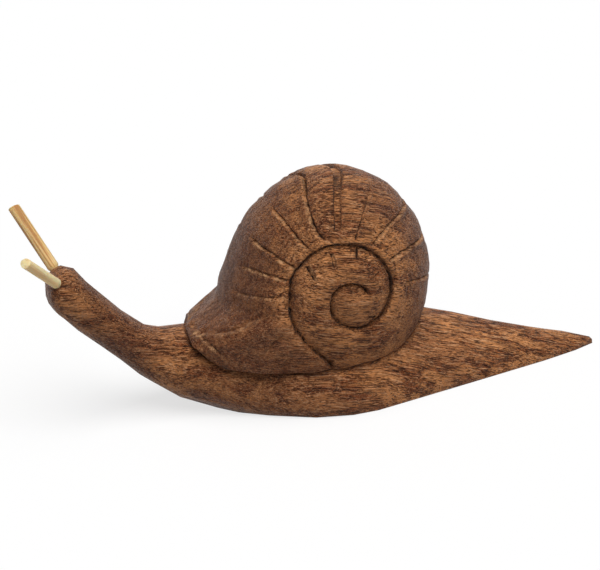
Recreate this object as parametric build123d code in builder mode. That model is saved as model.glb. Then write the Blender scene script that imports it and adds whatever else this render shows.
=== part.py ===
from build123d import *
import math
import os

# Snail figurine: one carved wooden block with two cane tentacles pushed into drilled sockets.
# Frame: X runs from the head (-X) to the tail (+X), Z is up, and the sole lies on Z = 0.
# The origin is on the sole, straight below the middle of the spiral.

# Driving dimensions of the head, neck and foot, in millimetres
head_reach = 98.6
tail_reach = 100.6
head_height = 57.3
foot_height = 30.6
foot_half_width = 27.0

# Driving dimensions of the shell
shell_axis_height = 43.0
shell_radius = 38.2
shell_half_width = 27.0
spiral_radius = 22.7
groove_width = 1.4
groove_depth = 1.1
rib_width = 1.1
rib_depth = 0.6

# Driving dimensions of the tentacles and their sockets
left_tentacle_radius = 1.8
right_tentacle_radius = 2.1
peg_radius = 1.1
peg_depth = 6.0
peg_clearance = 0.05
whittle_length = 1.6
tip_chamfer = 0.3
left_tentacle_length = 23.0
right_tentacle_length = 26.0

# Stations of the carved body, from the head to the tail. Each row has the place along X as a
# share of the head's or tail's reach; the top, the bottom and the widest height as shares of the
# head's or the foot's height; the half width as a share of the foot's; and the crown's power.
# A bottom below zero is a round belly that the flat sole cuts off.
head_station_shares = [
    (-1.000, 0.893, 0.815, 0.100, 0.862, 2.4),
    (-0.994, 0.925, 0.778, 0.193, 0.860, 2.4),
    (-0.978, 0.957, 0.733, 0.252, 0.850, 2.5),
    (-0.943, 0.995, 0.674, 0.278, 0.826, 2.5),
    (-0.913, 0.987, 0.621, 0.281, 0.803, 2.3),
    (-0.875, 0.920, 0.558, 0.281, 0.742, 2.0),
    (-0.795, 0.764, 0.433, 0.289, 0.599, 2.0),
    (-0.714, 0.626, 0.297, 0.319, 0.462, 2.0),
    (-0.631, 0.530, 0.171, 0.378, 0.340, 2.0),
    (-0.548, 0.517, 0.070, 0.456, 0.253, 2.0),
]
foot_station_shares = [
    (-0.460, 0.960, 0.007, 0.548, 0.376, 2.0),
    (-0.350, 0.931, -0.131, 0.681, 0.261, 2.0),
    (-0.220, 0.899, -0.196, 0.844, 0.163, 2.0),
    (-0.080, 0.850, -0.229, 0.978, 0.098, 2.0),
    (0.040, 0.817, -0.229, 1.000, 0.065, 2.0),
    (0.200, 0.817, -0.229, 0.874, 0.049, 1.9),
    (0.368, 0.745, -0.196, 0.719, 0.049, 1.7),
    (0.596, 0.497, -0.163, 0.489, 0.039, 1.6),
    (0.795, 0.291, -0.131, 0.296, 0.033, 1.6),
    (0.934, 0.150, -0.098, 0.126, 0.026, 1.6),
    (0.990, 0.078, -0.049, 0.037, 0.020, 1.8),
    (1.000, 0.052, -0.033, 0.015, 0.016, 2.0),
]
section_points = 16

# Outline of the shell seen from the side: angle from +X towards +Z, and the shell's radius there
# at its crest and on its cheeks, as shares. The crest flares at the mouth, the cheeks swell softly.
shell_outline_shares = [
    (0, 0.945, 0.945), (20, 0.935, 0.935), (40, 0.945, 0.945), (60, 0.960, 0.960),
    (80, 0.990, 0.985), (98, 1.000, 0.990), (115, 0.984, 0.985), (132, 0.961, 0.980),
    (150, 0.952, 0.993), (165, 0.952, 1.075), (175, 0.986, 1.150), (182, 1.023, 1.200),
    (186, 1.050, 1.220), (189, 1.080, 1.228), (191, 1.105, 1.232), (195, 1.290, 1.265),
    (203, 1.500, 1.372), (212, 1.600, 1.497), (222, 1.640, 1.568), (238, 1.387, 1.387),
    (254, 1.243, 1.243), (270, 1.100, 1.100), (290, 1.060, 1.060), (308, 1.039, 1.039),
    (324, 1.006, 1.006), (342, 0.966, 0.966),
]
# Edge of the shell's mouth, cut straight across the shell, in the same terms
lip_outline_shares = [
    (190, 1.323), (193.5, 1.361), (197, 1.402), (201, 1.392), (206, 1.305), (214, 1.155),
    (224, 0.965), (237, 0.838), (255, 0.775), (270, 0.730), (282, 0.775),
]
# Slices across the shell: angle of a half circle from cheek to cheek, share of the crest's outline
slice_shares = [
    (-86, 0), (-76, 0), (-65, 0.05), (-50, 0.35), (-35, 0.80), (-20, 1), (0, 1),
    (20, 1), (35, 0.80), (50, 0.35), (65, 0.05), (76, 0), (86, 0),
]

# Spiral groove, wound inwards: angle, share of the spiral's radius
spiral_shares = [
    (248, 1.050), (205, 0.950), (160, 0.975), (125, 0.960), (90, 0.858), (50, 0.765),
    (10, 0.692), (-30, 0.620), (-70, 0.520), (-110, 0.442), (-150, 0.372), (-190, 0.335),
    (-230, 0.318), (-270, 0.280), (-315, 0.257), (-355, 0.255),
]
# Growth ribs of the outer whorl: angle at the crest, angle and share at the groove
rib_shares = [
    (172, 172, 1.02), (163, 158, 1.06), (146, 144, 1.00), (127, 126, 1.06), (104, 112, 1.06),
    (86, 96, 1.08), (71, 82, 0.90), (44, 66, 0.86), (20, 39, 0.80), (355, 6, 0.92),
]
rib_crest_share = 1.08

# Where each tentacle's axis meets its peg, as shares of the head's reach, the foot's half width
# and the head's height, and the way that it leans
left_root_shares = (-0.968, -0.167, 0.928)
left_lean = Vector(-0.525, -0.46, 0.588)
right_root_shares = (-0.956, 0.169, 0.945)
right_lean = Vector(-0.37, 0.60, 0.664)

side_plane = Plane(origin=(0, 0, shell_axis_height), x_dir=(1, 0, 0), z_dir=(0, -1, 0))


def polar(angle, radius):
    """Point at an angle in degrees and a radius from the middle of the spiral."""
    return (radius * math.cos(math.radians(angle)), radius * math.sin(math.radians(angle)))


def body_section(half_width, top, bottom, widest, crown_power):
    """Points round one closed slice of the body, seen along X."""
    points = []
    for step in range(section_points):
        turn = 2 * math.pi * step / section_points
        side, rise = math.cos(turn), math.sin(turn)
        power = crown_power if rise > 0 else 2
        reach = top - widest if rise > 0 else widest - bottom
        across = half_width * math.copysign(abs(side) ** (2 / power), side)
        points.append((across, widest + reach * math.copysign(abs(rise) ** (2 / power), rise)))
    return points


def station_slices(stations, height):
    """Closed faces of a station table, each at its place along X."""
    slices = []
    for place, top, bottom, half_width, widest, power in stations:
        reach = head_reach if place < 0 else tail_reach
        points = body_section(
            half_width * foot_half_width, top * height, bottom * height, widest * height, power)
        plane = Plane(origin=(place * reach, 0, 0), x_dir=(0, 1, 0), z_dir=(1, 0, 0))
        with BuildSketch(plane) as station:
            with BuildLine():
                Spline(*points, periodic=True)
            make_face()
        slices.append(station.sketch)
    return slices


def shell_slices(inset):
    """Closed faces across the shell, each a smaller copy of its outline, set in by a depth."""
    slices = []
    for angle, crest_share in slice_shares:
        across = (shell_half_width - inset) * math.sin(math.radians(angle))
        size = math.cos(math.radians(angle))
        outline = []
        for turn, crest, cheek in shell_outline_shares:
            share = cheek + crest_share * (crest - cheek)
            outline.append(polar(turn, size * (share * shell_radius - inset)))
        with BuildSketch(side_plane.offset(-across)) as cheek:
            with BuildLine():
                Spline(*outline, periodic=True)
            make_face()
        slices.append(cheek.sketch)
    return slices


def tentacle_plane(root_shares, lean):
    """Plane through a tentacle's axis, whose Y runs up that axis from the root."""
    along, across, up = root_shares
    root = Vector(along * head_reach, across * foot_half_width, up * head_height)
    level = lean.cross(Vector(0, 0, 1))
    return Plane(origin=root, x_dir=level, z_dir=level.cross(lean))


def tentacle_solid(plane, radius, length, clearance):
    """A tentacle turned round its axis: peg, whittled shoulder, straight stick, eased tip."""
    peg = peg_radius + clearance
    stick = radius + clearance
    end = -peg_depth - clearance
    with BuildPart() as turned:
        with BuildSketch(plane):
            with BuildLine():
                Polyline(
                    (0, end), (peg, end), (peg, 0), (stick, whittle_length),
                    (stick, length - tip_chamfer), (stick - tip_chamfer, length), (0, length),
                    close=True)
            make_face()
        revolve(axis=Axis(plane.origin, plane.y_dir))
    return turned.part


left_plane = tentacle_plane(left_root_shares, left_lean)
right_plane = tentacle_plane(right_root_shares, right_lean)
left_facts = (left_plane, left_tentacle_radius, left_tentacle_length)
right_facts = (right_plane, right_tentacle_radius, right_tentacle_length)

# Shell: a lens with the outline of a snail's shell, cut off at its mouth
with BuildPart() as shell:
    loft(shell_slices(0))
    below = -2 * shell_radius
    with BuildSketch(side_plane):
        with BuildLine():
            lip = Spline(*[polar(turn, share * shell_radius) for turn, share in lip_outline_shares])
            Polyline(lip @ 1, ((lip @ 1).X, below), (below, below), (below, (lip @ 0).Y), lip @ 0)
        make_face()
    extrude(amount=shell_half_width, both=True, mode=Mode.SUBTRACT)

# Cores that stop the carved lines at their depth under the shell's surface
with BuildPart() as groove_core:
    loft(shell_slices(groove_depth))
with BuildPart() as rib_core:
    loft(shell_slices(rib_depth))

# Spiral groove, cut into both cheeks
with BuildPart() as spiral_groove:
    with BuildSketch(side_plane):
        with BuildLine():
            Spline(*[polar(turn, share * spiral_radius) for turn, share in spiral_shares])
        trace(line_width=groove_width)
    extrude(amount=shell_half_width, both=True)
    add(groove_core.part, mode=Mode.SUBTRACT)

# Growth ribs, cut across the outer whorl and over its crest
with BuildPart() as growth_ribs:
    for crest_angle, groove_angle, inner_share in rib_shares:
        with BuildSketch(side_plane):
            with BuildLine():
                Line(polar(crest_angle, rib_crest_share * shell_radius),
                     polar(groove_angle, inner_share * spiral_radius))
            trace(line_width=rib_width)
        extrude(amount=shell_half_width, both=True)
    add(rib_core.part, mode=Mode.SUBTRACT)

# Carved block: head, neck, foot, tail and shell in one piece of wood
with BuildPart() as carved_snail:
    loft(station_slices(head_station_shares, head_height)
         + station_slices(foot_station_shares, foot_height))
    split(bisect_by=Plane.XY, keep=Keep.TOP)
    add(shell.part)
    add(spiral_groove.part, mode=Mode.SUBTRACT)
    add(growth_ribs.part, mode=Mode.SUBTRACT)
    for plane, radius, length in (left_facts, right_facts):
        add(tentacle_solid(plane, radius, length, peg_clearance), mode=Mode.SUBTRACT)

# Cane tentacles
with BuildPart() as left_tentacle:
    add(tentacle_solid(*left_facts, 0))
with BuildPart() as right_tentacle:
    add(tentacle_solid(*right_facts, 0))

os.makedirs("parts", exist_ok=True)
carved_snail.part.label = "carved_snail"
left_tentacle.part.label = "left_tentacle"
right_tentacle.part.label = "right_tentacle"
for piece in (carved_snail, left_tentacle, right_tentacle):
    export_step(piece.part, f"parts/{piece.part.label}.step")
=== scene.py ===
# %% [markdown]
# # A carved wooden snail
#
# This lesson builds the looks of a small ornament: a snail carved from one block of brown,
# open-pored wood, with two cane sticks pushed into its head as tentacles. The construction is
# already there as a fixed frame, so every piece here is modelled in metres where the frame says.

# %% Load the frame
import math

import bpy
import numpy as np
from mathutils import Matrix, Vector
from mathutils.bvhtree import BVHTree
from mathutils.kdtree import KDTree


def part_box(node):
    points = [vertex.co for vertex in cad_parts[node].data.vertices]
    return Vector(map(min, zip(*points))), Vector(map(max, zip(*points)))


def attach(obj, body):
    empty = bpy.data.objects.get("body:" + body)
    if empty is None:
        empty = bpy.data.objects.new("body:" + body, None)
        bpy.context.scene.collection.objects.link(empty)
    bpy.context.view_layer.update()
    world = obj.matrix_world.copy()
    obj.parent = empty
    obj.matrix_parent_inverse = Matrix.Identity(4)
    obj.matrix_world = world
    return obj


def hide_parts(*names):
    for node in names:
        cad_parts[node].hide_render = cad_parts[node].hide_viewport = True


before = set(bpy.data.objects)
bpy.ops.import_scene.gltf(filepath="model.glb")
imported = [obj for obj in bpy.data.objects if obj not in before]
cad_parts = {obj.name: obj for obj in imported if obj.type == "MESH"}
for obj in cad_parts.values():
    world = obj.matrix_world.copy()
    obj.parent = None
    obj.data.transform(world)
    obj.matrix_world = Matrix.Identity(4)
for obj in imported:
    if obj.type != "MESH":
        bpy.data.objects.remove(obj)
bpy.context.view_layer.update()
bpy.context.scene.view_settings.view_transform = "Standard"

# %% [markdown]
# ## Sizes
#
# The block's reach, width and height are read from the frame. The shell is described as a
# carver would lay it out: the height of its spiral's middle, its radius, and half its width.

# %% Sizes of the block and its shell
block_low, block_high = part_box("carved_snail")
head_reach = -block_low[0]
tail_reach = block_high[0]
foot_half_width = 0.027
head_height = 0.0573
foot_height = 0.0306
shell_axis_height = 0.043
shell_radius = 0.0382
shell_half_width = 0.027
spiral_radius = 0.0227
print("block", round(head_reach + tail_reach, 4), "m long,", round(block_high[2], 4), "m high")

# %% [markdown]
# Every outline is kept as a short table of shares of those sizes. A smooth line through such a
# table comes from a natural cubic spline, which is the curve that a thin wooden batten takes when
# it is bent round pins.

# %% Smooth lines through tables
def batten(places, values):
    """A smooth curve through points, given as a function of place. values may have columns."""
    places, values = np.array(places, float), np.array(values, float)
    gaps = np.diff(places)
    slopes = (np.diff(values, axis=0).T / gaps).T
    last = len(places) - 1
    matrix, right = np.eye(last + 1), np.zeros_like(values)
    for i in range(1, last):
        matrix[i, i - 1:i + 2] = gaps[i - 1], 2 * (gaps[i - 1] + gaps[i]), gaps[i]
        right[i] = 6 * (slopes[i] - slopes[i - 1])
    bends = np.linalg.solve(matrix, right)

    def at(place):
        i = np.clip(np.searchsorted(places, place) - 1, 0, last - 1)
        gap, ahead, behind = gaps[i], places[i + 1] - place, place - places[i]
        if values.ndim > 1:
            gap, ahead, behind = gap[:, None], ahead[:, None], behind[:, None]
        start = values[i] / gap - bends[i] * gap / 6
        end = values[i + 1] / gap - bends[i + 1] * gap / 6
        cubic = (bends[i] * ahead ** 3 + bends[i + 1] * behind ** 3) / (6 * gap)
        return cubic + start * ahead + end * behind
    return at


def closed_batten(angles, values):
    """The same round a full turn, in degrees."""
    angles, values = np.array(angles, float), np.array(values, float)
    around = batten(np.concatenate([angles - 360, angles, angles + 360]), np.tile(values, 3))
    return lambda angle: around(np.mod(angle, 360))


def step(low, high, value):
    """0 below low, 1 above high, and a soft S between them."""
    share = np.clip((value - low) / (high - low), 0, 1)
    return share * share * (3 - 2 * share)


def band(rise, fall, value):
    """1 between two ranges: it rises softly over the first and falls over the second."""
    return step(*rise, value) * (1 - step(*fall, value))


print("half way up a soft step", step(0, 1, 0.5))

# %% [markdown]
# ## The body
#
# Head, neck, foot and tail are one long form, so they start as one ball with its poles at the
# head and the tail. The ball's rings become the slices of the body: each has its own top,
# bottom, width and crown. A ball keeps the mesh closed at both ends and gives even faces, which
# the carved lines need later.

# %% Slices of the body
head_station_shares = [
    (-1.000, 0.893, 0.815, 0.100, 0.862, 2.4), (-0.994, 0.925, 0.778, 0.193, 0.860, 2.4),
    (-0.978, 0.957, 0.730, 0.252, 0.850, 2.6), (-0.943, 0.995, 0.668, 0.278, 0.826, 2.7),
    (-0.913, 0.987, 0.613, 0.281, 0.803, 2.3), (-0.875, 0.920, 0.549, 0.281, 0.742, 2.0),
    (-0.795, 0.764, 0.423, 0.289, 0.599, 2.0), (-0.714, 0.626, 0.287, 0.319, 0.462, 2.0),
    (-0.631, 0.530, 0.163, 0.376, 0.340, 2.0), (-0.548, 0.514, 0.068, 0.448, 0.253, 2.0),
]
foot_station_shares = [
    (-0.460, 0.950, 0.007, 0.536, 0.376, 2.0), (-0.350, 0.931, -0.131, 0.668, 0.261, 2.0),
    (-0.220, 0.899, -0.196, 0.844, 0.163, 2.0), (-0.080, 0.850, -0.229, 0.978, 0.098, 2.0),
    (0.040, 0.817, -0.229, 1.000, 0.065, 2.0), (0.200, 0.817, -0.229, 0.874, 0.049, 1.9),
    (0.368, 0.745, -0.196, 0.719, 0.049, 1.7), (0.596, 0.497, -0.163, 0.489, 0.039, 1.6),
    (0.795, 0.291, -0.131, 0.296, 0.033, 1.6), (0.934, 0.150, -0.098, 0.126, 0.026, 1.6),
    (0.990, 0.078, -0.049, 0.037, 0.020, 1.8), (1.000, 0.052, -0.033, 0.015, 0.016, 2.0),
]


def station_rows(shares, height):
    """Rows of along, top, bottom, half width, widest height in metres, and the crown's power."""
    rows = []
    for along, top, bottom, half_width, widest, power in shares:
        reach = head_reach if along < 0 else tail_reach
        rows.append([along * reach, top * height, bottom * height, half_width * foot_half_width,
                     widest * height, power])
    return rows


stations = station_rows(head_station_shares, head_height)
stations += station_rows(foot_station_shares, foot_height)
for end, tip in ((0, stations[0]), (len(stations) + 1, stations[-1])):
    stations.insert(end, [tip[0], tip[4], tip[4], 0, tip[4], tip[5]])
stations = np.array(stations)
steps_along = np.linalg.norm(np.diff(stations[:, [0, 1, 3]], axis=0), axis=1)
along_line = np.concatenate([[0], np.cumsum(steps_along)])
body_line = batten(along_line, stations)
print("slices", len(stations), "over a line of", round(along_line[-1], 3), "m")

# %% Small helpers for meshes
def only(piece):
    """Deselect everything, then select one piece and make it active."""
    bpy.ops.object.select_all(action="DESELECT")
    piece.select_set(True)
    bpy.context.view_layer.objects.active = piece


def ball(name, segments, rings):
    """A round ball of radius 1, to be shaped. A coarse ball is divided twice, which is quick."""
    bpy.ops.object.select_all(action="DESELECT")
    bpy.ops.mesh.primitive_uv_sphere_add(segments=segments // 4, ring_count=rings // 4, radius=1)
    piece = bpy.context.object
    piece.name = piece.data.name = name
    apply_modifier(piece, "SUBSURF", subdivision_type="SIMPLE", levels=2)
    places = places_of(piece)
    move_to(piece, places / np.linalg.norm(places, axis=1)[:, None])
    return piece


def places_of(piece):
    """Where a piece's vertices are."""
    places = np.empty(len(piece.data.vertices) * 3, np.float32)
    piece.data.vertices.foreach_get("co", places)
    return places.reshape(-1, 3).astype(float)


def normals_of(piece):
    """Which way a piece's surface faces at each vertex."""
    normals = np.empty(len(piece.data.vertices) * 3, np.float32)
    piece.data.vertex_normals.foreach_get("vector", normals)
    return normals.reshape(-1, 3).astype(float)


def move_to(piece, places):
    """Put a piece's vertices at new places."""
    piece.data.vertices.foreach_set("co", places.astype(np.float32).ravel())
    piece.data.update()


def apply_modifier(piece, kind, **settings):
    """Add one modifier, set it and apply it."""
    only(piece)
    bpy.ops.object.modifier_add(type=kind)
    modifier = piece.modifiers[-1]
    for name, value in settings.items():
        setattr(modifier, name, value)
    bpy.ops.object.modifier_apply(modifier=modifier.name)

# %% Shape the body's ball
detail = 1.0
body = ball("carved_body", int(240 * detail), int(460 * detail))
side, up, pole = places_of(body).T
line_place = along_line[-1] * np.arccos(np.clip(pole, -1, 1)) / math.pi
along, top, bottom, half_width, widest, power = body_line(line_place).T
turn = np.arctan2(-up, side)
lean, rise = np.cos(turn), np.sin(turn)
power = np.where(rise > 0, power, 2)
reach = np.where(rise > 0, top - widest, widest - bottom)
across = np.maximum(half_width, 0) * np.sign(lean) * np.abs(lean) ** (2 / power)
height = widest + reach * np.sign(rise) * np.abs(rise) ** (2 / power)
move_to(body, np.stack([along, across, height], axis=1))
print("body", len(body.data.polygons), "faces")

# %% [markdown]
# The underside is sawn flat so that the snail stands. A bisect cuts the belly off at the floor
# and fills the cut, just as the saw does.

# %% Saw the sole flat
only(body)
bpy.ops.object.mode_set(mode="EDIT")
bpy.ops.mesh.select_all(action="SELECT")
bpy.ops.mesh.bisect(
    plane_co=(0, 0, 0), plane_no=(0, 0, 1), use_fill=True, clear_inner=True, threshold=1e-6)
bpy.ops.object.mode_set(mode="OBJECT")
print("body on its sole", len(body.data.polygons), "faces, lowest", places_of(body)[:, 2].min())

# %% [markdown]
# ## The shell
#
# The shell is a second ball, with its poles on the two cheeks. Its outline is measured from the
# middle of the spiral. The crest flares where the shell's mouth spreads over the neck, while the
# cheeks swell softly, so the outline is blended from one to the other across the width. Low down
# at the back the last whorl is a fat tube, so the cheeks are fuller there than a half circle.

# %% Outlines of the shell
shell_outline_shares = [
    (0, 0.945, 0.945), (20, 0.935, 0.935), (40, 0.945, 0.945), (60, 0.960, 0.960),
    (80, 0.990, 0.985), (98, 1.000, 0.990), (115, 0.984, 0.985), (132, 0.961, 0.980),
    (150, 0.952, 0.993), (165, 0.952, 1.075), (175, 0.986, 1.150), (182, 1.016, 1.198),
    (186, 1.030, 1.215), (189, 1.055, 1.228), (191, 1.130, 1.250), (195, 1.450, 1.400),
    (203, 1.580, 1.480), (212, 1.620, 1.530), (222, 1.640, 1.568), (238, 1.387, 1.387),
    (254, 1.243, 1.243), (270, 1.100, 1.100), (290, 1.060, 1.060), (308, 1.039, 1.039),
    (324, 1.006, 1.006), (342, 0.966, 0.966),
]
lip_outline_shares = [
    (190, 1.285), (193.5, 1.340), (197, 1.382), (200, 1.388), (204, 1.352), (207, 1.310),
    (213, 1.180), (219, 1.055), (227, 0.925), (240, 0.815), (255, 0.765), (270, 0.730),
    (282, 0.775),
]
crest_blend_shares = [(0, 1), (20, 1), (35, 0.80), (50, 0.35), (65, 0.05), (76, 0), (90, 0)]
fullness_shares = [
    (0, 1.0), (60, 1.0), (130, 1.0), (200, 1.0), (235, 0.96), (258, 0.87), (280, 0.80),
    (305, 0.84), (335, 0.95),
]
turns, crests, cheeks = np.array(shell_outline_shares).T
fullness = closed_batten(*np.array(fullness_shares).T)
crest_outline, cheek_outline = closed_batten(turns, crests), closed_batten(turns, cheeks)
lip_outline = batten(*np.array(lip_outline_shares).T)
crest_blend = batten(*np.array(crest_blend_shares, float).T)
print("outline points", len(shell_outline_shares), "lip points", len(lip_outline_shares))

# %% [markdown]
# The mouth isn't quite square to the shell. On the far side the flare starts a little later, and
# the lip leans in. Beyond the lip there is no shell, so its surface stops there with a small
# rounded edge.

# %% Shape the shell's ball
far_delay = 1.6
lip_lean = 11
lip_middle, lip_least, lip_most = 0.030, -0.075, 0.045
mouth_start, mouth_end = 190, 282
no_lip = 10
lip_round = 0.0012
shell = ball("carved_shell", int(760 * detail), int(330 * detail))
side, up, pole = places_of(shell).T
lean_angle = np.degrees(np.arcsin(np.clip(pole, -1, 1)))
size = np.sqrt(np.clip(1 - pole ** 2, 0, 1))
turn = np.mod(np.degrees(np.arctan2(up, side)), 360)
across = -shell_half_width * pole
blend = np.clip(crest_blend(np.abs(lean_angle)), 0, 1)
delay = far_delay * step(0.001, 0.008, across) * step(185, 194, turn) * (1 - step(202, 214, turn))
cheek = cheek_outline(turn - delay)
outline = shell_radius * (cheek + blend * (crest_outline(turn - delay) - cheek))
radius = size ** fullness(turn) * outline
at_mouth = (turn > mouth_start) & (turn < mouth_end)
lip_skew = np.clip(lip_middle - lip_lean * across, lip_least, lip_most)
lip_skew = lip_skew * (1 - step(196.5, 201, turn - delay))
lip = np.where(at_mouth, shell_radius * (lip_outline(turn) + lip_skew), no_lip)
near_lip = np.maximum(lip_round - np.abs(radius - lip), 0) / lip_round
radius = np.minimum(radius, lip) - near_lip ** 2 * lip_round / 4
angle = np.radians(turn)
out, rise = radius * np.cos(angle), radius * np.sin(angle)
move_to(shell, np.stack([out, across, shell_axis_height + rise], axis=1))
print("shell", len(shell.data.polygons), "faces")

# %% [markdown]
# The flare over the neck starts too suddenly for a form that was rubbed smooth by hand. A Smooth
# modifier that works through a vertex group eases that place alone, and leaves the rest crisp.

# %% Ease the flare over the neck
flare = shell.vertex_groups.new(name="flare")
flare_share = band((174, 188), (200, 216), turn) * step(0.028, 0.036, radius)
flare_share = flare_share * step(0.0008, 0.0040, lip - radius)
for share in range(1, 11):
    members = np.nonzero(np.round(10 * flare_share) == share)[0]
    flare.add(members.tolist(), share / 10, "REPLACE")
ease_rounds = int(260 * detail)
apply_modifier(shell, "SMOOTH", factor=0.5, iterations=ease_rounds, vertex_group="flare")
shell.vertex_groups.clear()
places = places_of(shell)
radius = np.hypot(places[:, 0], places[:, 2] - shell_axis_height)
turn = np.mod(np.degrees(np.arctan2(places[:, 2] - shell_axis_height, places[:, 0])), 360)
print("eased", int((flare_share > 0).sum()), "vertices")

# %% [markdown]
# ### A hand's unevenness
#
# Nothing on this snail is ruled: lines waver, cuts vary in depth and the faces keep shallow
# facets from the gouge. A few sine waves in fixed, seemingly random directions, added up, give
# such unevenness, and give the same one each time that the file is run.

# %% A steady unevenness
def uneven(places, wavelength, seed):
    """A smooth value of about -1 to 1 at each place, which changes over a wavelength."""
    waves, usual_peak = 7, 3.2
    luck = np.random.default_rng(seed)
    total = np.zeros(len(places))
    for _ in range(waves):
        way = luck.normal(size=3)
        way = way / np.linalg.norm(way) * 2 * math.pi / (wavelength * luck.uniform(0.7, 1.6))
        total += np.sin(places @ way + luck.uniform(0, 2 * math.pi))
    return total / usual_peak


MM = 0.001
sample = uneven(places_of(shell), 6 * MM, 1)
print("unevenness spans", np.round(sample.min(), 2), "to", np.round(sample.max(), 2))

# %% [markdown]
# ### Carving the shell
#
# The carver first cuts the spiral with a knife, then eases the inner whorl down towards that
# line. The growth ribs follow: each is a straight stab with a slanted cut running up to it, on
# the side away from the top. In code, each vertex is pushed in along its own normal by the depth
# that these cuts have at its place, so the marks are real geometry.

# %% Depth of the spiral groove
spiral_shares = [
    (258, 1.205), (254, 1.135), (248, 1.060), (228, 0.968), (205, 0.950), (160, 0.975),
    (125, 0.960), (90, 0.858), (50, 0.765), (10, 0.692), (-30, 0.620), (-70, 0.520),
    (-110, 0.442), (-150, 0.372), (-190, 0.335), (-230, 0.318), (-270, 0.280), (-315, 0.257),
    (-355, 0.255),
]
spiral_line = batten(*np.array(spiral_shares[::-1], float).T)
groove_half_width = 0.54 * MM
groove_depth = 0.9 * MM
whorl_drop, whorl_ease = 2.1 * MM, 3.2 * MM
rim_drop, rim_ease = 0.75 * MM, 2.0 * MM
shell_start = places_of(shell)
waver = uneven(shell_start, 9 * MM, 2) + 0.5 * uneven(shell_start, 2.4 * MM, 22)
strength = 1 + 0.28 * uneven(shell_start, 4 * MM, 3) + 0.22 * uneven(shell_start, 1.6 * MM, 23)
strength = np.clip(strength, 0.35, 2)
groove_line, groove_ease = np.zeros_like(radius), np.zeros_like(radius)
for whole_turns in (-360, 0):
    angle = turn + whole_turns
    there = band((-357, -335), (256, 262), angle)
    gap = radius - spiral_radius * spiral_line(np.clip(angle, -355, 258)) + 0.2 * MM * waver
    cut = np.clip(1 - np.abs(gap) / (groove_half_width * strength), 0, 1)
    groove_line = np.maximum(groove_line, there * cut)
    inside = whorl_drop * np.exp(-np.abs(gap) / whorl_ease)
    outside = rim_drop * np.exp(-np.abs(gap) / rim_ease)
    groove_ease = np.maximum(groove_ease, there * np.where(gap < 0, inside, outside))
on_cheek = step(6, 14, np.abs(lean_angle))
groove_line, groove_ease = groove_line * on_cheek, groove_ease * on_cheek
print("groove vertices", int((groove_line > 0).sum()))

# %% [markdown]
# Each rib is a row of the next table: its angle at the crest, its angle and radius at the
# groove, how far it bows between them in degrees, how deep it is, how wide the slanted cut is
# (both in millimetres), which side that cut lies on, where it fades towards the crest (1 is the
# crest itself, 2 runs over it), how dark the painted shade along its line is, and how pale its
# fresh cut is painted, partly as a painted highlight.

# %% Growth ribs
rib_table = [
    # crest, groove, inner share, bow, depth, slant, side, fade, painted shade, pale highlight
    (178, 171.8, 1.00, 1.0, 0.60, 2.4, 1, 0.97, 0.02, 0.45),
    (164, 157.5, 1.02, 0.0, 0.95, 2.6, 1, 0.97, 0.06, 0.80),
    (147, 146, 0.97, 0.0, 1.20, 2.6, 1, 0.985, 0.16, 0.85),
    (127, 126.5, 1.03, 0.0, 1.20, 2.4, 1, 0.998, 0.40, 0.65),
    (103.5, 111, 1.04, 4.5, 1.50, 3.0, 1, 2, 0.80, 0.70),
    (68.5, 84, 0.90, 0.0, 0.80, 1.8, -1, 0.93, 0.75, 0.15),
    (42, 66, 0.86, 0.0, 1.40, 2.4, -1, 2, 0.55, 0.75),
    (20, 39, 0.80, 0.0, 1.30, 2.8, -1, 2, 0.30, 0.80),
    (355, 366, 0.92, 0.0, 1.00, 2.4, -1, 2, 0.25, 0.35),
]
stab_width = 0.3 * MM
crest_radius = shell_radius * crest_outline(turn)


def rib_gap(radius, turn, crest_angle, groove_angle, inner, bow):
    """Distance of points from a rib's line, positive the way the turn grows."""
    way_out = np.clip((radius - inner) / (crest_radius - inner), 0, 1)
    line = groove_angle + (crest_angle - groove_angle) * way_out
    line = line + bow * (1 - np.abs(2 * way_out - 1) ** 3)
    apart = np.mod(turn - line + 180, 360) - 180
    return np.radians(apart) * radius


def notch(gap, slant):
    """Depth share of a stab with a slanted cut running up to it, in a shallow dip."""
    dip = np.exp(-np.abs(gap) / (0.9 * slant))
    stab = np.clip(1 + gap / stab_width, 0, 1)
    ramp = np.clip(1 - gap / (0.45 * slant), 0, 1)
    return 0.3 * dip + 0.7 * np.where(gap < 0, stab, ramp)


rib_depth, rib_line_shade = np.zeros_like(radius), np.zeros_like(radius)
fresh_cut_highlight, hollow = np.zeros_like(radius), np.zeros_like(radius)


def carve_rib(gap, ends, depth, slant, dark, fresh_highlight):
    """Deepen the shell's cuts by one rib, and note its line's painted shade and its slant's painted
    highlight.
    """
    share = ends * notch(gap, slant)
    past_ridge = gap - 0.5 * slant
    sunk = step(0, 0.8 * slant, past_ridge) * np.exp(-np.maximum(past_ridge, 0) / (1.7 * slant))
    np.maximum(hollow, np.minimum(ends, 1) * sunk * depth, out=hollow)
    np.maximum(rib_depth, share * depth * strength, out=rib_depth)
    ends = np.minimum(ends, 1)
    # Painted shade: a dark line along the stab, and a soft dark band beside it on the side away
    # from the slanted cut.
    edge = np.clip(1.6 - np.abs(gap + 0.05 * MM) / (0.22 * MM * strength), 0, 1)
    shade = 0.40 * np.exp(-(np.minimum(gap, 0) / (1.1 * MM)) ** 2) * step(-0.3 * MM, 0, -gap)
    low_down = 1 - 0.85 * step(0.93, 0.985, size)
    np.maximum(rib_line_shade, ends * low_down * np.maximum(edge, shade) * dark, out=rib_line_shade)
    # Painted highlight: the slanted cut is made paler, partly as the lighter wood of a fresh cut
    # and partly as light falling on it.
    slope = band((0.10 * MM, 0.35 * MM), (0.34 * slant, 0.64 * slant), gap)
    broken = np.clip(0.62 + 0.55 * uneven(shell_start, 3.5 * MM, 24), 0, 1)
    np.maximum(fresh_cut_highlight, ends * slope * fresh_highlight * broken, out=fresh_cut_highlight)


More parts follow.
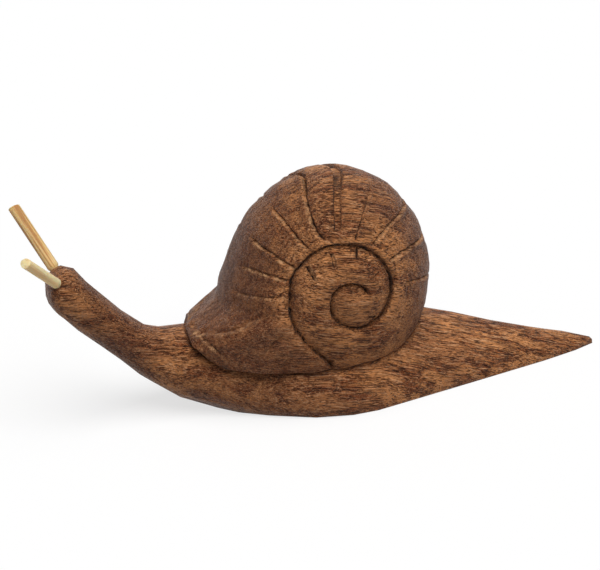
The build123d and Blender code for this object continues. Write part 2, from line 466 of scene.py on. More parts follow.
over_crest = 1 + 1.1 * step(0.93, 0.99, size)
for row in rib_table:
    crest_angle, groove_angle, inner_share, bow, depth, slant, way, fade, dark, fresh_highlight = row
    inner = inner_share * spiral_radius
    gap = rib_gap(radius, turn, crest_angle, groove_angle, inner, bow) + 0.2 * MM * waver
    ends = step(inner - 0.3 * MM, inner + 0.6 * MM, radius)
    ends = ends * over_crest if fade > 1 else ends * (1 - step(fade - 0.05, fade, size))
    carve_rib(way * gap, ends, depth * MM, slant * MM, dark, fresh_highlight)
print("ribs", len(rib_table))

# %% [markdown]
# At the very top the carver took out a flat-bottomed strip between two stabs, which widens towards
# the crest and ends there in a dark, deeper mark.

# %% The strip at the top
strip_low, strip_high = 1.05 * spiral_radius, shell_radius
strip_share = np.clip((radius - strip_low) / (strip_high - strip_low), 0, 1)
strip_middle = 98.6 - 9 * strip_share - 3.4 * strip_share ** 5
strip_gap = np.radians(np.mod(turn - strip_middle + 180, 360) - 180) * radius
strip_half = (1.15 + 0.15 * strip_share + 0.5 * strip_share ** 10) * MM
strip_ends = step(strip_low, strip_low + 1.5 * MM, radius)
strip = strip_ends * (1 - step(-0.3 * MM, 0.35 * MM, np.abs(strip_gap) - strip_half))
rib_depth = np.maximum(rib_depth, strip * (0.8 + 0.5 * strip_share ** 8) * MM)
strip_edge = strip_ends * np.clip(1.5 - np.abs(np.abs(strip_gap) - strip_half) / (0.32 * MM), 0, 1)
in_strip = step(-0.25 * MM, 0.1 * MM, strip_half - np.abs(strip_gap))
stab_mark = band((0.80, 0.83), (0.975, 0.990), strip_share) * in_strip
rib_depth = rib_depth + 0.3 * MM * stab_mark * on_cheek
strip_shade = strip_ends * in_strip * step(0.1 * MM, 0.7 * MM, -strip_gap)
strip_shade = strip_shade * (1 - step(0.7, 0.9, strip_share))
strip_edge = strip_edge * np.where(strip_gap > 0, 0.75, 0.35) * (1 - 0.8 * step(0.95, 0.99, size))
# The strip's edges, the mark at its top and one side of its floor join the painted shade of the rib
# lines.
rib_line_shade = np.maximum.reduce([rib_line_shade, strip_edge, 0.62 * stab_mark, 0.30 * strip_shade])
print("strip vertices", int((strip > 0).sum()))

# %% [markdown]
# The inner whorl has a few short cuts across it. By the mouth, growth lines follow the lip, and
# the outermost leaves a rim. None of them runs over the crest, so each is drawn as a line of
# points in the side view, and the same notch is cut along it on both cheeks.

# %% Short cuts and growth lines
short_cuts = [
    # first angle, first radius, last angle, last radius, depth, slant, side, painted shade, pale
    # highlight
    (112, 18.6, 117, 13.0, 1.20, 2.6, 1, 1.0, 0.25),
    (80, 18.6, 83, 14.4, 1.10, 1.8, -1, 1.0, 0.1),
    (139, 20.4, 149, 14.6, 1.10, 2.6, 1, 0.9, 0.45),
    (40, 13.4, 44, 8.6, 0.60, 1.4, -1, 0.5, 0.4),
    (352, 14.6, 347, 9.2, 0.50, 1.6, -1, 0.3, 0.5),
    (318, 12.6, 308, 9.0, 0.80, 1.2, -1, 1.0, 0.5),
    (300, 20.5, 296, 13.0, 0.30, 2.0, -1, 0.1, 0.3),
    (98, 5.0, 86, 1.6, 0.40, 1.5, 1, 0.4, 0.3),
]
mouth_lines = [
    # angle and radius at points along the line, depth, slant, side, painted shade, pale highlight
    ([(193.6, 51.6), (194.1, 50.5), (194.5, 50.0), (195.1, 49.8), (196.7, 49.1), (199.4, 48.2),
      (202.5, 46.8), (207, 44.6)], 0.85, 2.4, -1, 0.50, 0.95),
    ([(194.3, 51.6), (193.7, 50.9), (193.9, 49.2), (193.7, 46.9), (194.0, 44.1), (193.5, 40.9),
      (192.4, 37.5), (190.8, 34.7), (189.0, 31.5), (187.3, 28.0)], 0.70, 2.0, -1, 0.45, 0.45),
    ([(211, 33.5), (206, 29.5), (203, 25.5)], 0.50, 2.0, 1, 0.45, 0.3),
    ([(224, 33.5), (222, 27.5)], 0.40, 2.0, 1, 0.30, 0.3),
]


def line_gap(points, flat):
    """Distance from a line of points in the shell's side view, and the share along it."""
    nearest = np.full(len(flat), 1.0)
    side_of, along = np.zeros(len(flat)), np.zeros(len(flat))
    for i, (start, end) in enumerate(zip(points[:-1], points[1:])):
        reach = end - start
        share = np.clip((flat - start) @ reach / (reach @ reach), 0, 1)
        apart = flat - start - share[:, None] * reach
        distance = np.linalg.norm(apart, axis=1)
        closer = distance < nearest
        nearest[closer] = distance[closer]
        cross = reach[0] * apart[:, 1] - reach[1] * apart[:, 0]
        side_of[closer] = np.sign(cross[closer])
        along[closer] = (i + share[closer]) / (len(points) - 1)
    return nearest * side_of, along


def flat_points(rows):
    """Points of the side view from rows of angle and millimetres from the spiral's middle."""
    return np.array([[r * MM * math.cos(math.radians(a)), r * MM * math.sin(math.radians(a))]
                     for a, r in rows])


flat = np.stack([radius * np.cos(np.radians(turn)), radius * np.sin(np.radians(turn))], axis=1)
for first_angle, first, last_angle, last, depth, slant, way, dark, fresh_highlight in short_cuts:
    gap, along = line_gap(flat_points([(first_angle, first), (last_angle, last)]), flat)
    ends = on_cheek * step(0, 0.08, along) * (1 - step(0.75, 1, along))
    carve_rib(way * gap + 0.12 * MM * waver, ends, depth * MM, slant * MM, dark, fresh_highlight)
for rows, depth, slant, way, dark, fresh_highlight in mouth_lines:
    gap, along = line_gap(flat_points(rows), flat)
    ends = step(2, 6, np.abs(lean_angle)) * step(0, 0.04, along) * (1 - step(0.7, 1, along))
    carve_rib(way * gap + 0.15 * MM * waver, ends, depth * MM, slant * MM, dark, fresh_highlight)
print("short cuts", len(short_cuts), "growth lines", len(mouth_lines))

# %% [markdown]
# The wood is not the same brown all round the shell: some plates between the ribs are darker and
# redder, others lighter. A table of tones by angle, from -1 to 1, keeps that.

# %% Push the carved marks into the shell
tone_table = [
    (0, -0.3), (12, -0.45), (30, -0.8), (42, -0.75), (58, -0.85), (70, -0.5), (88, 0.8),
    (98, 0.8), (108, 0.5), (120, 0.0), (135, -0.15), (150, -0.5), (160, -0.45), (175, -0.5),
    (190, -0.35), (215, -0.3), (240, -0.15), (270, 0), (320, 0), (345, -0.15),
]


def gouge_facets(places, broad, fine):
    """Depth of the gouge's shallow facets. Broad and fine give depth, wavelength and seed."""
    depth = broad[0] * MM * (uneven(places, broad[1] * MM, broad[2]) + 1.2)
    return np.maximum(depth + fine[0] * MM * uneven(places, fine[1] * MM, fine[2]), 0)


hollow_share, hollow_shade = 0.42, 0.30
facets = gouge_facets(shell_start, (0.12, 11, 4), (0.07, 4, 5))
carve = groove_line * groove_depth + groove_ease + rib_depth + hollow_share * hollow + facets
move_to(shell, shell_start - normals_of(shell) * carve[:, None])
# Painted shade: the spiral groove and the rib lines are darkened, and so is the hollow that each
# rib leaves past its ridge.
cut_line_shade = np.maximum(groove_line, rib_line_shade) * (0.75 + 0.3 * uneven(shell_start, 5 * MM, 21))
cut_line_shade = np.maximum(cut_line_shade, hollow_shade * np.minimum(hollow / MM, 1))
way_out = (radius - spiral_radius) / (shell_radius - spiral_radius)
tones = closed_batten(*np.array(tone_table, float).T)(turn)
shell_warm = np.maximum(1 - step(0.1, 0.75, way_out), 1.6 * np.clip(tones, 0, 1))
shell_shade = step(0.05, 0.5, way_out) * np.clip(-tones, 0, 1)
shell_shade = np.maximum(shell_shade, 0.45 * (1 - step(-1.0, -0.5, way_out)))
shell_calm = step(0, 0.3, way_out) * step(168, 186, turn) * (1 - step(262, 285, turn))
print("deepest cut", round(carve.max() / MM, 2), "mm")

# %% Gouge facets on the body
body_start = places_of(body)
facets = gouge_facets(body_start, (0.10, 14, 6), (0.04, 5, 7))
facets = facets * step(0.3 * MM, 2 * MM, body_start[:, 2])
move_to(body, body_start - normals_of(body) * facets[:, None])
print("facets up to", round(facets.max() / MM, 2), "mm")

# %% [markdown]
# ### Where shell and foot meet
#
# A dark V runs round the shell where it meets the foot: the carver stabs along the line from
# both sides. Vertices of each form that lie close to the other are pushed in, the nearer the
# deeper, before the two are joined into one block. The darkness along the V is painted shade,
# stronger the closer the vertices lie.

# %% Cut the line between shell and foot
def near_other(piece, other, width):
    """Share of nearness to another piece's surface, 1 on it and 0 at a width away."""
    tree = BVHTree.FromObject(other, bpy.context.evaluated_depsgraph_get())
    places = places_of(piece)
    low, high = (places_of(other).min(axis=0) - width), (places_of(other).max(axis=0) + width)
    share = np.zeros(len(places))
    for i in np.nonzero(((places > low) & (places < high)).all(axis=1))[0]:
        hit = tree.find_nearest(Vector(places[i]), width)
        if hit[0] is not None:
            share[i] = 1 - hit[3] / width
    return share


seam_width = 1.0 * MM
body_seam = near_other(body, shell, seam_width)
shell_seam = near_other(shell, body, seam_width)
body_start, shell_start = places_of(body), places_of(shell)
body_seam_depth = 1.0 * MM * (1 + 0.45 * uneven(body_start, 4 * MM, 8))
shell_seam_depth = 0.6 * MM * (1 + 0.4 * uneven(shell_start, 4 * MM, 9))
body_push = body_seam ** 1.5 * body_seam_depth * step(0, 1 * MM, body_start[:, 2])
move_to(body, body_start - normals_of(body) * body_push[:, None])
move_to(shell, shell_start - normals_of(shell) * (shell_seam ** 1.5 * shell_seam_depth)[:, None])
print("seam vertices", int((body_seam > 0).sum()), int((shell_seam > 0).sum()))

# %% [markdown]
# ### One block
#
# The real snail is one piece of wood, so the two forms are joined by a union. The holes for the
# tentacles are drilled first, with a difference: the same cylinder that a drill bit would cut.

# %% Tentacle axes
peg_radius = 1.1 * MM
peg_depth = 6.0 * MM
peg_clearance = 0.05 * MM
whittle_length = 1.6 * MM
tentacles = {
    "left_tentacle": {
        "root": Vector((-0.968 * head_reach, -0.167 * foot_half_width, 0.928 * head_height)),
        "lean": Vector((-0.525, -0.46, 0.588)).normalized(),
        "length": 23 * MM, "radius": 1.8 * MM},
    "right_tentacle": {
        "root": Vector((-0.956 * head_reach, 0.169 * foot_half_width, 0.945 * head_height)),
        "lean": Vector((-0.37, 0.60, 0.664)).normalized(),
        "length": 26 * MM, "radius": 2.1 * MM},
}
print("tentacles", {name: round(stick["length"] / MM, 1) for name, stick in tentacles.items()})

# %% Drill the sockets
drill_radius, drill_spare = peg_radius + 3 * peg_clearance, 4 * MM
for stick in tentacles.values():
    depth = peg_depth + drill_spare
    middle = stick["root"] + stick["lean"] * (depth / 2 - peg_depth)
    turned = stick["lean"].to_track_quat("Z", "Y").to_euler()
    bpy.ops.object.select_all(action="DESELECT")
    bpy.ops.mesh.primitive_cylinder_add(
        vertices=32, radius=drill_radius, depth=depth, location=middle, rotation=turned)
    drill = bpy.context.object
    apply_modifier(body, "BOOLEAN", operation="DIFFERENCE", object=drill, solver="MANIFOLD")
    bpy.data.objects.remove(drill)
print("body with sockets", len(body.data.polygons), "faces")

# %% Join the block
marks = KDTree(len(shell_start) + len(body_start))
for i, place in enumerate(np.concatenate([places_of(shell), body_start])):
    marks.insert(place, i)
marks.balance()
on_body = np.zeros(len(body_start))
foot_calm = band((-0.056, -0.046), (-0.026, -0.014), body_start[:, 0])
neck_shade = band((-0.092, -0.086), (-0.072, -0.062), body_start[:, 0])
mark_names = ("cut_shade", "fresh_highlight", "warm", "calm", "shade")
# Painted shade: on the shell it comes from the cut lines and the seam, on the body from the seam
# alone.
shell_cut_shade = np.maximum(cut_line_shade, shell_seam ** 2.6)
shell_marks = (shell_cut_shade, fresh_cut_highlight, shell_warm, shell_calm, shell_shade)
body_marks = (body_seam ** 2.2, on_body, on_body + 0.6, 0.9 * foot_calm, neck_shade)
mark_table = np.concatenate([shell_marks, body_marks], axis=1).T.copy()
apply_modifier(body, "BOOLEAN", operation="UNION", object=shell, solver="MANIFOLD")
bpy.data.objects.remove(shell)
snail = body
snail.name = snail.data.name = "snail_block"
print("joined block", len(snail.data.polygons), "faces")

# %% [markdown]
# The painted shade in the cuts and their pale, partly painted highlights need to know where the
# cuts are, so each vertex of the joined block takes its marks from the nearest vertices of the two
# forms. A decimate then takes faces away where the surface is plain. A vertex group holds it back
# along the carved lines, which stay crisp.

# %% Remember where the cuts are
fibre_tilt = math.radians(9)
fibre_way = np.array([math.cos(fibre_tilt), 0, -math.sin(fibre_tilt)])
block_marks = np.empty((len(snail.data.vertices), mark_table.shape[1]))
for i, place in enumerate(places_of(snail)):
    near = marks.find_n(place, 2)
    weights = np.array([1 / (found[2] + 0.02 * MM) for found in near])
    block_marks[i] = weights @ mark_table[[found[1] for found in near]] / weights.sum()
cut_shade, fresh_highlight, warm, calm, shade = block_marks.T
end_grain = step(0.30, 0.80, np.abs(normals_of(snail) @ fibre_way))
calm = np.maximum(0.75 * calm, end_grain)
for name, values in zip(mark_names, (cut_shade, fresh_highlight, warm, calm, shade)):
    layer = snail.data.attributes.new(name, "FLOAT", "POINT")
    layer.data.foreach_set("value", values.astype(np.float32))
    print(name, "on", int((values > 0.1).sum()), "of", len(values), "vertices")

# %% Fewer faces where the surface is plain
def triangle_count(piece):
    """Triangles of a piece once each of its faces is split into triangles."""
    return sum(len(face.vertices) - 2 for face in piece.data.polygons)


plain = snail.vertex_groups.new(name="plain")
marked = np.maximum(cut_shade, fresh_highlight)
for share in range(11):
    members = np.nonzero(np.round(10 * np.clip(1 - 2.5 * marked, 0, 1)) == share)[0]
    plain.add(members.tolist(), share / 10, "REPLACE")
triangles = triangle_count(snail)
most_triangles = 196000 * detail
apply_modifier(snail, "DECIMATE", ratio=min(1, most_triangles / triangles), vertex_group="plain",
               vertex_group_factor=1.0)
snail.vertex_groups.clear()
print("block", triangles, "down to", triangle_count(snail), "triangles")

# %% Finish the block
only(snail)
bpy.ops.object.shade_smooth_by_angle(angle=math.radians(50))
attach(snail, "root")
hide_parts("carved_snail")
print("block spans", np.round(np.ptp(places_of(snail), axis=0), 4), "m")

# %% [markdown]
# ## The tentacles
#
# Each tentacle is a short piece of cane. It starts as a circle, and is drawn out upwards in
# steps: the peg, the whittled shoulder, then the straight stick. A slanted bisect trims the tip
# as a knife would. Only then is it turned to its lean and carried to its hole.

# %% Draw out a stick of cane
def cane_stick(name, radius, length, slope, seed):
    """One tentacle, from its peg to its trimmed tip."""
    bpy.ops.object.select_all(action="DESELECT")
    bpy.ops.mesh.primitive_circle_add(vertices=48, radius=peg_radius, fill_type="NGON")
    stick = bpy.context.object
    stick.name = stick.data.name = name
    bpy.ops.object.mode_set(mode="EDIT")
    bpy.ops.mesh.select_all(action="SELECT")
    rises = [(peg_depth, 1)]
    rises += [(whittle_length / 4, 1 + (radius / peg_radius - 1) * k / 4) for k in (1, 2, 3, 4)]
    steps_up, spare = 24, 1 * MM
    rises += [((length - whittle_length + spare) / steps_up, radius / peg_radius)] * steps_up
    wide = 1
    for rise, wider in rises:
        bpy.ops.mesh.extrude_region_move(TRANSFORM_OT_translate={"value": (0, 0, rise)})
        bpy.ops.transform.resize(value=(wider / wide, wider / wide, 1))
        wide = wider
    bpy.ops.mesh.select_all(action="SELECT")
    bpy.ops.mesh.normals_make_consistent(inside=False)
    bpy.ops.mesh.bisect(
        plane_co=(0, 0, peg_depth + length - 0.25 * MM), plane_no=(slope, 0.3 * slope, 1),
        use_fill=True, clear_outer=True, threshold=1e-7)
    bpy.ops.object.mode_set(mode="OBJECT")
    places = places_of(stick)
    around = np.arctan2(places[:, 1], places[:, 0])
    luck = np.random.default_rng(seed)
    ridge = np.zeros(len(places))
    for waves in (5, 7, 9, 13):
        ridge += np.sin(waves * around + luck.uniform(0, 6.3) + places[:, 2] / (30 * MM))
    flats = 1 - 0.025 * (1 + np.cos(3 * around + luck.uniform(0, 6.3)))
    out_of_peg = step(peg_depth, peg_depth + whittle_length, places[:, 2])
    shape = 1 + out_of_peg * (flats - 1 - 0.012 * (1 + ridge / 2.4))
    places[:, :2] *= shape[:, None]
    places[:, 2] -= peg_depth
    move_to(stick, places)
    return stick


for name, slope, seed in (("left_tentacle", 0.10, 11), ("right_tentacle", -0.16, 12)):
    facts = tentacles[name]
    stick = cane_stick("cane_" + name, facts["radius"], facts["length"], slope, seed)
    stick.rotation_euler = facts["lean"].to_track_quat("Z", "Y").to_euler()
    stick.location = facts["root"]
    only(stick)
    bpy.ops.object.transform_apply(location=True, rotation=True, scale=True)
    apply_modifier(stick, "BEVEL", width=0.12 * MM, segments=2, limit_method="ANGLE",
                   angle_limit=math.radians(50))
    only(stick)
    bpy.ops.object.shade_smooth_by_angle(angle=math.radians(40))
    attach(stick, "root")
    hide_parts(name)
    facts["piece"] = stick
    print(stick.name, len(stick.data.polygons), "faces")

# %% [markdown]
# ## The wood
#
# The wood is brown and open-pored. Its pores are thin tubes that run along the block, so they
# show as dark dashes on the sides and as dots where a surface faces the head or the tail. Object
# coordinates keep the fibres in place through the whole solid, so every surface cuts them as it
# would cut real wood. Noise that is stretched along X gives the streaks; a stretched Voronoi
# pattern gives the pores.

# %% A helper that adds and fills one node
def put(tree, kind, inputs=None, **settings):
    """Add a node, set its settings, and fill or link its inputs by name or number."""
    made = tree.nodes.new(kind)
    for name, value in settings.items():
        setattr(made, name, value)
    for name, value in (inputs or {}).items():
        if isinstance(value, bpy.types.NodeSocket):
            tree.links.new(value, made.inputs[name])
        else:
            made.inputs[name].default_value = value
    return made


def paint(name, finish):
    """A new material, its node tree and its shader, whose inputs are set to a finish."""
    made = bpy.data.materials.new(name)
    made.use_nodes = True
    shader = made.node_tree.nodes["Principled BSDF"]
    for setting, value in finish.items():
        shader.inputs[setting].default_value = value
    return made, made.node_tree, shader


def srgb(red, green, blue):
    """A colour given as 0 to 255, as the shader counts it."""
    shares = np.array([red, green, blue]) / 255
    linear = np.where(shares <= 0.04045, shares / 12.92, ((shares + 0.055) / 1.055) ** 2.4)
    return (*linear, 1)


def blend_colours(tree, share, first, second):
    """One colour from two and a share."""
    return put(tree, "ShaderNodeMix", data_type="RGBA",
               inputs={0: share, 6: first, 7: second}).outputs[2]


def spread(tree, value, low, high, to_low=0.0, to_high=1.0):
    """A value moved from one range to another, softly and clipped."""
    return put(tree, "ShaderNodeMapRange", interpolation_type="SMOOTHSTEP",
               inputs={"Value": value, "From Min": low, "From Max": high,
                       "To Min": to_low, "To Max": to_high}).outputs["Result"]


def sums(tree, kind, first, second, node="ShaderNodeMath"):
    """Two values joined by one sum."""
    return put(tree, node, operation=kind, inputs={0: first, 1: second}).outputs[0]


def vectors(tree, kind, first, second):
    """Two vectors joined by one sum."""
    return sums(tree, kind, first, second, "ShaderNodeVectorMath")


def mapped(tree, vector, **settings):
    """Coordinates moved, turned or scaled. Location, Rotation and Scale go by those names."""
    return put(tree, "ShaderNodeMapping", inputs={"Vector": vector, **settings}).outputs["Vector"]


def noise(tree, vector, scale, detail, roughness=0.5, output="Fac"):
    """A cloudy value over some coordinates, with a number of cells per unit."""
    return put(tree, "ShaderNodeTexNoise",
               inputs={"Vector": vector, "Scale": scale, "Detail": detail,
                       "Roughness": roughness}).outputs[output]


# %% Where the fibres run
waxed = {
    "Specular IOR Level": 0.14, "Sheen Weight": 0.12, "Sheen Roughness": 0.16,
    "Sheen Tint": (1, 0.93, 0.84, 1),
}
wood, tree, shader = paint("carved_brown_wood", waxed)
place = put(tree, "ShaderNodeTexCoord").outputs["Object"]
tilted = mapped(tree, place, Rotation=(0, -fibre_tilt, 0))
sway = vectors(tree, "SUBTRACT", noise(tree, tilted, 38, 2.0, output="Color"), (0.5, 0.5, 0.5))
swayed = vectors(tree, "ADD", tilted, vectors(tree, "MULTIPLY", sway, (0.0, 0.005, 0.004)))
along = put(tree, "ShaderNodeSeparateXYZ", inputs={"Vector": place}).outputs["X"]
tail_start, tail_end, tail_fall = 0.012, 0.112, 0.0165
fall = put(tree, "ShaderNodeMapRange", inputs={
    "Value": along, "From Min": tail_start, "From Max": tail_end, "To Max": tail_fall}).outputs[0]
lift = put(tree, "ShaderNodeCombineXYZ", inputs={"Z": fall}).outputs[0]
fibre = vectors(tree, "ADD", swayed, lift)


def stretched(scale, location=(0, 0, 0)):
    """The fibre's coordinates, counted in cells per metre along, across and up."""
    return mapped(tree, fibre, Scale=scale, Location=location)


def grain(scale, detail, roughness, location=(0, 0, 0)):
    """Noise drawn out along the fibre."""
    return noise(tree, stretched(scale, location), 1.0, detail, roughness)


def carved_share(name):
    """A mark that the carving left on the block's vertices."""
    return put(tree, "ShaderNodeAttribute", attribute_name=name).outputs["Fac"]


print("fibre nodes", len(tree.nodes))

# %% Lines, sheets and patches of the grain
lines = grain((90, 1900, 2100), 2.0, 0.55)
figure = grain((80, 620, 820), 1.0, 0.5, (3, 6, 2))
sheets = grain((36, 900, 300), 2.0, 0.55, (5, 1, 3))
patches = grain((70, 190, 210), 2.0, 0.5, (2, 8, 4))
tint = grain((34, 62, 62), 2.0, 0.5, (7, 3, 9))
speckle = grain((1800, 3200, 3200), 2.0, 0.6, (1, 1, 1))
granules = noise(tree, place, 900, 2.0, 0.6)
cut_shade, fresh_highlight, warm, calm, shade = [carved_share(name) for name in mark_names]


def contour(value, level, width):
    """1 along the thin line where a value passes a level, 0 beyond a width."""
    away = sums(tree, "ABSOLUTE", sums(tree, "SUBTRACT", value, level), 0.0)
    return spread(tree, away, width, 0.2 * width)


thin_lines = sums(tree, "MAXIMUM", contour(figure, 0.5, 0.020),
                  sums(tree, "MAXIMUM", contour(figure, 0.40, 0.018), contour(figure, 0.60, 0.018)))

# %% Pores: dashes along the fibre
def from_pore(scale, location=(0, 0, 0)):
    """Distance from the middle of the nearest pore, in cells."""
    cells = {"Vector": stretched(scale, location), "Scale": 1.0}
    return put(tree, "ShaderNodeTexVoronoi", inputs=cells).outputs["Distance"]


pore_size = spread(tree, sheets, 0.64, 0.36, 0.20, 0.42)
pore_edge = sums(tree, "SUBTRACT", from_pore((260, 2300, 2300)), pore_size)
pore = spread(tree, pore_edge, 0.06, -0.06)
fine_pore = spread(tree, from_pore((520, 3600, 3600), (3, 5, 7)), 0.42, 0.20)
print("grain and pore nodes", len(tree.nodes))

# %% [markdown]
# The colour is built as a wood finisher glazes a repair: a ground of tan and brown sheets, then
# one thin layer after another, each a colour and the share of it that shows. The wood's own lines
# come first, then the calm places where fibres end and the shaded plates, then the pores, the
# pale fresh cuts, which are partly a painted highlight, and painted shade in the carved lines,
# in the hollows behind the ribs and along the seam.

# %% The wood's ground, and where each layer shows
def times(first, second):
    """One pattern of the wood weakened by another, or by a number."""
    return sums(tree, "MULTIPLY", first, second)


tan, brown = srgb(207, 137, 82), srgb(138, 73, 32)
tone = sums(tree, "ADD", times(sheets, 0.45), times(patches, 0.55))
tone = sums(tree, "ADD", tone, times(warm, 0.04))
ground = blend_colours(tree, spread(tree, tone, 0.42, 0.60), brown, tan)
purplish = sums(tree, "SUBTRACT", spread(tree, tint, 0.42, 0.62, 0.0, 0.55), times(warm, 0.25))
dark_lines = times(spread(tree, lines, 0.50, 0.36, 0.0, 0.85),
                   spread(tree, patches, 0.64, 0.46, 0.35, 1.0))
dark_threads = times(thin_lines, spread(tree, patches, 0.64, 0.46, 0.20, 0.75))
pale_lines = spread(tree, lines, 0.54, 0.68, 0.0, 0.55)
dark_granules = times(calm, spread(tree, granules, 0.50, 0.36, 0.0, 0.55))
pale_granules = times(calm, spread(tree, granules, 0.54, 0.72, 0.0, 0.40))
speckles = spread(tree, speckle, 0.48, 0.70, 0.0, 0.45)
open_pores = times(pore, spread(tree, calm, 0.0, 1.0, 0.80, 0.45))
# The fresh cuts' pale colour, partly wood and partly painted highlight, broken by granules.
broken_cut_highlights = times(fresh_highlight, spread(tree, granules, 0.36, 0.60, 0.10, 1.0))
# Painted shade in the carved lines and the seam, broken up by speckle and softened.
rough_cut_shade = sums(tree, "ADD", cut_shade, spread(tree, speckle, 0.35, 0.65, -0.16, 0.10))
soft_cut_shade = spread(tree, rough_cut_shade, 0.10, 0.72, 0.0, 0.92)
print("ground and share nodes", len(tree.nodes))

# %% The wood's colours, layer by layer
# The pale cut colour is partly a painted highlight; the last, darkest layer is painted shade in the
# cuts.
dark = srgb(48, 18, 6)
colour_layers = [
    (purplish, srgb(111, 58, 35)), (dark_lines, dark), (dark_threads, dark),
    (pale_lines, srgb(230, 176, 132)), (times(calm, 0.62), srgb(106, 55, 28)),
    (dark_granules, dark), (pale_granules, srgb(190, 140, 104)),
    (times(shade, 0.55), srgb(84, 42, 25)), (speckles, srgb(212, 158, 112)),
    (times(fine_pore, 0.42), dark), (open_pores, dark), (broken_cut_highlights, srgb(222, 170, 122)),
    (soft_cut_shade, srgb(38, 17, 8)),
]
coloured = ground
for share, colour in colour_layers:
    coloured = blend_colours(tree, share, coloured, colour)
tree.links.new(coloured, shader.inputs["Base Color"])
print("colour layers", len(colour_layers))

# %% [markdown]
# Wax gives the wood a low satin gloss that the open pores break, so they are rougher. The same
# patterns feed a bump, too fine to be worth faces: pores sink, and lines and granules stand up.

# %% The wood's gloss and relief
tree.links.new(spread(tree, pore, 0.0, 1.0, 0.40, 0.80), shader.inputs["Roughness"])
relief = 0.0
for pattern, rise in ((pore, -0.8), (fine_pore, -0.4), (lines, 2.0), (speckle, 0.5),
                      (thin_lines, -0.5), (granules, 1.2)):
    relief = sums(tree, "ADD", relief, times(pattern, rise))
bump = put(tree, "ShaderNodeBump",
           inputs={"Height": relief, "Strength": 1.0, "Distance": 0.3 * MM})
tree.links.new(bump.outputs["Normal"], shader.inputs["Normal"])
snail.data.materials.clear()
snail.data.materials.append(wood)
print("wood nodes", len(tree.nodes))

# %% [markdown]
# ## The cane
#
# Cane is pale, with thin brown fibres that run along it. A Mapping node turns the coordinates so
# that the pattern's long way follows each stick.

# %% Cane material
raw_cane = {
    "Roughness": 0.5, "Specular IOR Level": 0.2, "Subsurface Weight": 0.6,
    "Subsurface Radius": (1.0, 0.8, 0.55), "Subsurface Scale": 2.5 * MM,
}


def cane(name, facts, pale, golden, line_strength):
    """Cane whose fibres run along one stick."""
    made, tree, shader = paint(name, raw_cane)
    turned = facts["lean"].to_track_quat("Z", "Y").inverted()
    moved = turned @ facts["root"]
    place = put(tree, "ShaderNodeTexCoord").outputs["Object"]
    along = mapped(tree, place, Rotation=turned.to_euler(), Location=-moved)
    lines = noise(tree, mapped(tree, along, Scale=(620, 620, 18)), 1.0, 3.0)
    tone = noise(tree, mapped(tree, along, Scale=(300, 300, 30)), 1.0, 2.0)
    body = blend_colours(tree, spread(tree, tone, 0.35, 0.65), pale, golden)
    line = spread(tree, lines, 0.52, 0.62, 0.0, line_strength)
    tree.links.new(blend_colours(tree, line, body, srgb(176, 122, 66)),
                   shader.inputs["Base Color"])
    bump = put(tree, "ShaderNodeBump",
               inputs={"Height": lines, "Strength": 0.6, "Distance": 0.05 * MM})
    tree.links.new(bump.outputs["Normal"], shader.inputs["Normal"])
    facts["piece"].data.materials.clear()
    facts["piece"].data.materials.append(made)
    print(name, "nodes", len(tree.nodes))


cane("pale_cane", tentacles["left_tentacle"], srgb(255, 232, 184), srgb(250, 216, 160), 0.25)
cane("golden_cane", tentacles["right_tentacle"], srgb(236, 206, 150), srgb(226, 186, 122), 0.85)

# %% [markdown]
# ## Floor and light
#
# The snail stands on a white floor in an even studio light: a pale sky all round, one wide, soft
# lamp from above, and a card behind the head that only adds gloss along the edge. Floor and sky
# are pure white where the camera, a reflection or glass sees them. For all other light they are
# greyer, so that the white doesn't wash out the undersides.

# %% Floor
def seen_rays(tree):
    """1 for rays that look, straight or by way of gloss or glass, and 0 for those that light."""
    path = put(tree, "ShaderNodeLightPath")
    seen = path.outputs["Is Camera Ray"]
    for ray in ("Is Glossy Ray", "Is Transmission Ray"):
        seen = sums(tree, "MAXIMUM", seen, path.outputs[ray])
    return seen


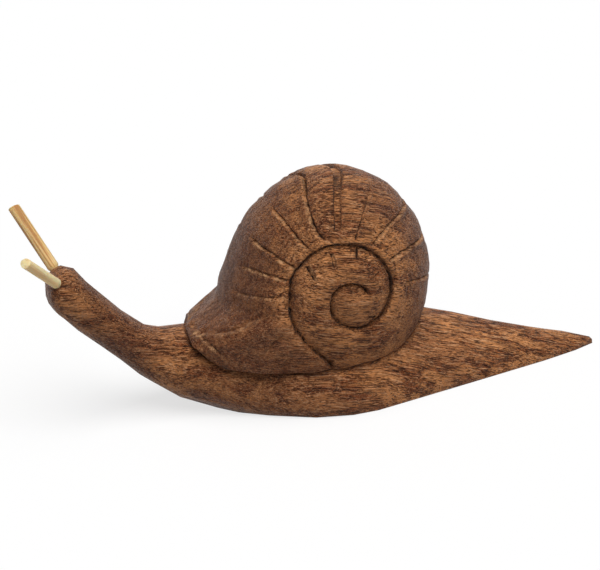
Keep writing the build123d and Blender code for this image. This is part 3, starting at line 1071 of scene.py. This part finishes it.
pure_white, floor_grey = (1, 1, 1, 1), (0.46, 0.46, 0.46, 1)
floor_glow = 0.70
bpy.ops.object.select_all(action="DESELECT")
bpy.ops.mesh.primitive_plane_add(size=8, location=(0, 0, 0))
floor = bpy.context.object
floor.name = floor.data.name = "floor"
floor_paint, tree, shader = paint("white_floor", {"Roughness": 0.9, "Specular IOR Level": 0.0})
seen = seen_rays(tree)
tree.links.new(blend_colours(tree, seen, floor_grey, pure_white), shader.inputs["Base Color"])
white = put(tree, "ShaderNodeEmission", inputs={"Color": pure_white, "Strength": 1.0})
both = put(tree, "ShaderNodeMixShader",
           inputs={0: sums(tree, "MULTIPLY", seen, floor_glow), 1: shader.outputs["BSDF"],
                   2: white.outputs["Emission"]})
tree.links.new(both.outputs["Shader"], tree.nodes["Material Output"].inputs["Surface"])
floor.data.materials.append(floor_paint)
print("floor nodes", len(tree.nodes))

# %% Light
world = bpy.data.worlds.new("studio")
bpy.context.scene.world = world
world.use_nodes = True
tree = world.node_tree
sky = tree.nodes["Background"]
sky.inputs["Color"].default_value = pure_white
sky_strength = 0.20
strength = put(tree, "ShaderNodeMapRange",
               inputs={"Value": seen_rays(tree), "To Min": sky_strength, "To Max": 1.0})
tree.links.new(strength.outputs[0], sky.inputs["Strength"])
bpy.ops.object.light_add(type="SUN", rotation=(math.radians(17), math.radians(5), 0))
lamp = bpy.context.object
lamp.name = "soft_lamp"
lamp.data.energy = 2.65
lamp.data.angle = math.radians(55)
bpy.ops.object.light_add(type="AREA", location=(-0.44, 0.50, 0.06))
card = bpy.context.object
card.name = "rim_card"
card.rotation_euler = card.location.to_track_quat("Z", "Y").to_euler()
card.data.shape = "RECTANGLE"
card.data.size, card.data.size_y = 0.40, 0.30
card.data.energy = 1.4
card.visible_camera = card.visible_diffuse = False
print("lamp", lamp.data.energy, "card", card.data.energy)

# %% [markdown]
# ## Camera
#
# The camera stands where the photographer stood: a little towards the head, 25 degrees up. The
# lens follows from how many pixels a metre takes at the snail's distance.

# %% Camera
azimuth, elevation = math.radians(-18), math.radians(25)
camera_distance = 0.9
pixel_per_metre = 2900
frame_width = 600
sensor_width = 36
back = Vector((math.sin(azimuth) * math.cos(elevation), -math.cos(azimuth) * math.cos(elevation),
               math.sin(elevation)))
right = Vector((math.cos(azimuth), math.sin(azimuth), 0))
above = back.cross(right)
aim_left, aim_up = 0.00966, 0.00217
target = Vector((0, 0, 0.035)) - right * aim_left + above * aim_up
bpy.ops.object.camera_add()
camera = bpy.context.object
camera.name = "camera"
camera.data.sensor_width = sensor_width
camera.data.lens = pixel_per_metre * camera_distance / frame_width * sensor_width
camera.location = target + back * camera_distance
camera.rotation_euler = back.to_track_quat("Z", "Y").to_euler()
bpy.context.scene.camera = camera
print("lens", round(camera.data.lens, 1), "mm")
